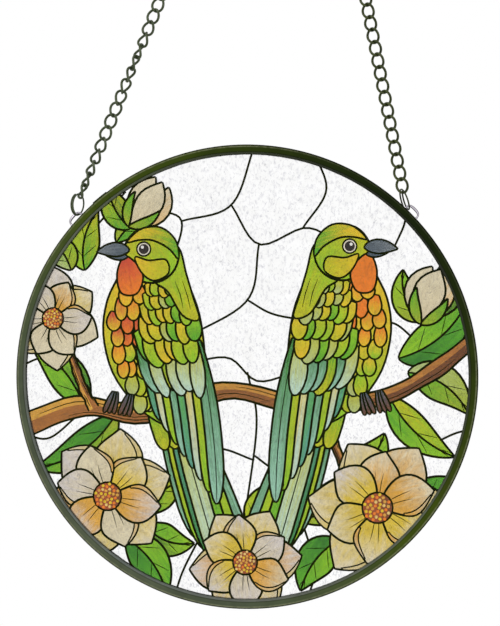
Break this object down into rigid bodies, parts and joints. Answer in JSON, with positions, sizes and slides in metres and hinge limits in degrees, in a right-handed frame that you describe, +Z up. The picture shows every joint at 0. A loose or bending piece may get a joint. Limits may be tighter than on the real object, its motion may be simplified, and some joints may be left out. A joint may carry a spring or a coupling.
{
  "type": "round hanging suncatcher",
  "caption": "Round printed glass suncatcher in a thin dark metal rim, hung by two runs of curb chain that meet in a ring.",
  "frame": {"origin": "where a hook bears: the inner top of the hanging ring", "axes": "+Z up, +X to the viewer's right, and the pane's front faces -Y"},
  "size_m": [0.2, 0.0133, 0.417],
  "materials": {
    "pane": "clear seedy glass with a transparent print in greens, cream and brown",
    "rim": "satin dark olive",
    "lug": "bright wire",
    "chain": "dark olive plate with worn edges"
  },
  "bodies": {
    "root": {"glass_disc": "pane", "rim": "rim", "lug_left": "lug", "lug_right": "lug", "ring_left": "chain", "ring_right": "chain", "chain_left": "chain", "chain_right": "chain", "hanging_ring": "chain"}
  },
  "joints": []
}
